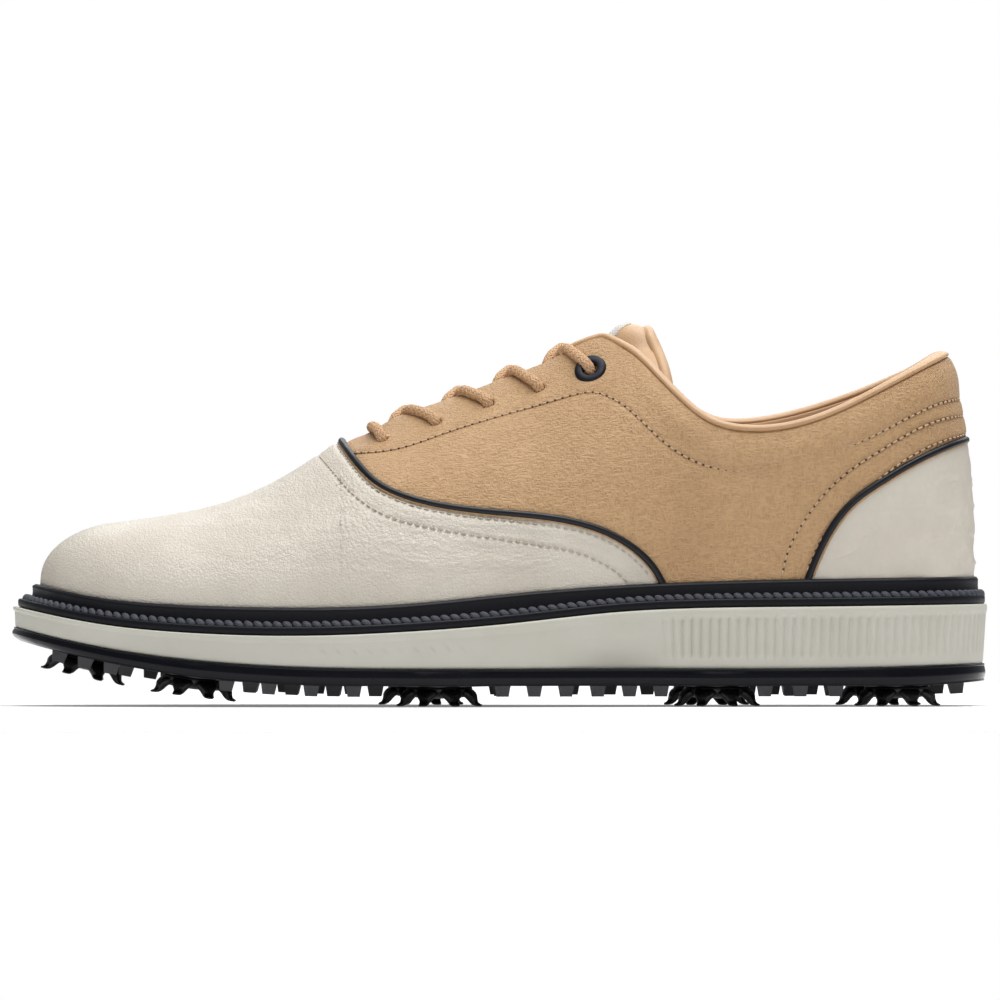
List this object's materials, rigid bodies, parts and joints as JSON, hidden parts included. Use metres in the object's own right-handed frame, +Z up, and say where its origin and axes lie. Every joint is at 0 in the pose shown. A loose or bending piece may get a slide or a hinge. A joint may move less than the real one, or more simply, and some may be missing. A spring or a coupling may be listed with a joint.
{
  "type": "golf shoe",
  "caption": "Left golf shoe with a two-tone laced leather upper on a stitched storm welt, a fluted foam midsole and a cleated rubber outsole.",
  "frame": {"origin": "on the ground, under the middle of the sole's length and width", "axes": "+X from toe to heel, +Y to the inner (medial) side of the foot, +Z up"},
  "size_m": [0.3059, 0.1106, 0.12],
  "materials": {
    "vamp_leather": "pebbled leather, satin",
    "quarter_leather": "cross-weave embossed leather, matt",
    "heel_cap_leather": "embossed leather, satin",
    "piping": "smooth coated, satin",
    "binding": "smooth soft leather",
    "lining": "knitted lining",
    "foam": "open-cell foam",
    "stiffener": "thermoplastic counter",
    "board": "fibre board",
    "sockliner": "foam with fabric cover",
    "filler": "cork filler",
    "shank": "spring steel",
    "welt": "moulded rubber, satin",
    "welt_thread": "waxed thread",
    "midsole": "moulded foam, matt",
    "outsole": "thermoplastic polyurethane, glossy",
    "lugs": "matt rubber",
    "receptacles": "moulded nylon",
    "eyelet": "black painted metal, matt",
    "lace": "round braided cord",
    "lace_tip": "clear-coated tip",
    "tongue_leather": "soft leather",
    "label": "woven patch",
    "cleat": "moulded polyurethane, satin"
  },
  "bodies": {
    "root": {"vamp": "vamp_leather", "quarter_lateral": "quarter_leather", "quarter_medial": "quarter_leather", "heel_cap": "heel_cap_leather", "vamp_piping": "piping", "heel_piping": "piping", "topline_binding": "binding", "vamp_lining": "lining", "quarter_lining": "lining", "collar_foam": "foam", "heel_stiffener": "stiffener", "toe_puff": "stiffener", "insole_board": "board", "sockliner": "sockliner", "filler": "filler", "shank": "shank", "welt": "welt", "welt_stitches": "welt_thread", "midsole": "midsole", "outsole": "outsole", "traction_lugs": "lugs", "cleat_receptacles": "receptacles", "eyelet_lateral": "eyelet", "eyelet_medial": "eyelet", "eyelet_washers": "eyelet", "lace": "lace", "lace_tips": "lace_tip"},
    "tongue": {"tongue": "tongue_leather", "tongue_foam": "foam", "tongue_lining": "lining", "tongue_binding": "binding", "tongue_label": "label"},
    "cleat_toe_body": {"cleat_toe": "cleat"},
    "cleat_front_lateral_body": {"cleat_front_lateral": "cleat"},
    "cleat_ball_lateral_body": {"cleat_ball_lateral": "cleat"},
    "cleat_ball_medial_body": {"cleat_ball_medial": "cleat"},
    "cleat_heel_front_lateral_body": {"cleat_heel_front_lateral": "cleat"},
    "cleat_heel_front_medial_body": {"cleat_heel_front_medial": "cleat"},
    "cleat_heel_rear_lateral_body": {"cleat_heel_rear_lateral": "cleat"},
    "cleat_heel_rear_medial_body": {"cleat_heel_rear_medial": "cleat"}
  },
  "joints": [
    {"name": "cleat_toe_twist", "type": "hinge", "parent": "root", "child": "cleat_toe_body", "pos_m": [-0.1298, 0.01, 0.01534], "axis": [-0.2136, 0, -0.9769], "range_deg": [0, 60]},
    {"name": "cleat_front_lateral_twist", "type": "hinge", "parent": "root", "child": "cleat_front_lateral_body", "pos_m": [-0.0952, -0.024, 0.00948], "axis": [-0.1206, 0, -0.9927], "range_deg": [0, 60]},
    {"name": "cleat_ball_lateral_twist", "type": "hinge", "parent": "root", "child": "cleat_ball_lateral_body", "pos_m": [-0.019, -0.031, 0.0066], "axis": [0, 0, -1], "range_deg": [0, 60]},
    {"name": "cleat_ball_medial_twist", "type": "hinge", "parent": "root", "child": "cleat_ball_medial_body", "pos_m": [-0.0249, 0.031, 0.0066], "axis": [0, 0, -1], "range_deg": [0, 60]},
    {"name": "cleat_heel_front_lateral_twist", "type": "hinge", "parent": "root", "child": "cleat_heel_front_lateral_body", "pos_m": [0.0679, -0.02, 0.0066], "axis": [0, 0, -1], "range_deg": [0, 60]},
    {"name": "cleat_heel_front_medial_twist", "type": "hinge", "parent": "root", "child": "cleat_heel_front_medial_body", "pos_m": [0.065, 0.024, 0.0066], "axis": [0, 0, -1], "range_deg": [0, 60]},
    {"name": "cleat_heel_rear_lateral_twist", "type": "hinge", "parent": "root", "child": "cleat_heel_rear_lateral_body", "pos_m": [0.1244, -0.013, 0.0066], "axis": [0.0002, 0, -1], "range_deg": [0, 60]},
    {"name": "cleat_heel_rear_medial_twist", "type": "hinge", "parent": "root", "child": "cleat_heel_rear_medial_body", "pos_m": [0.119, 0.022, 0.0066], "axis": [0, 0, -1], "range_deg": [0, 60]},
    {"name": "tongue_fold", "type": "hinge", "parent": "root", "child": "tongue", "pos_m": [-0.056, 0.005, 0.07], "axis": [0, 1, 0], "range_deg": [0, 10]}
  ]
}
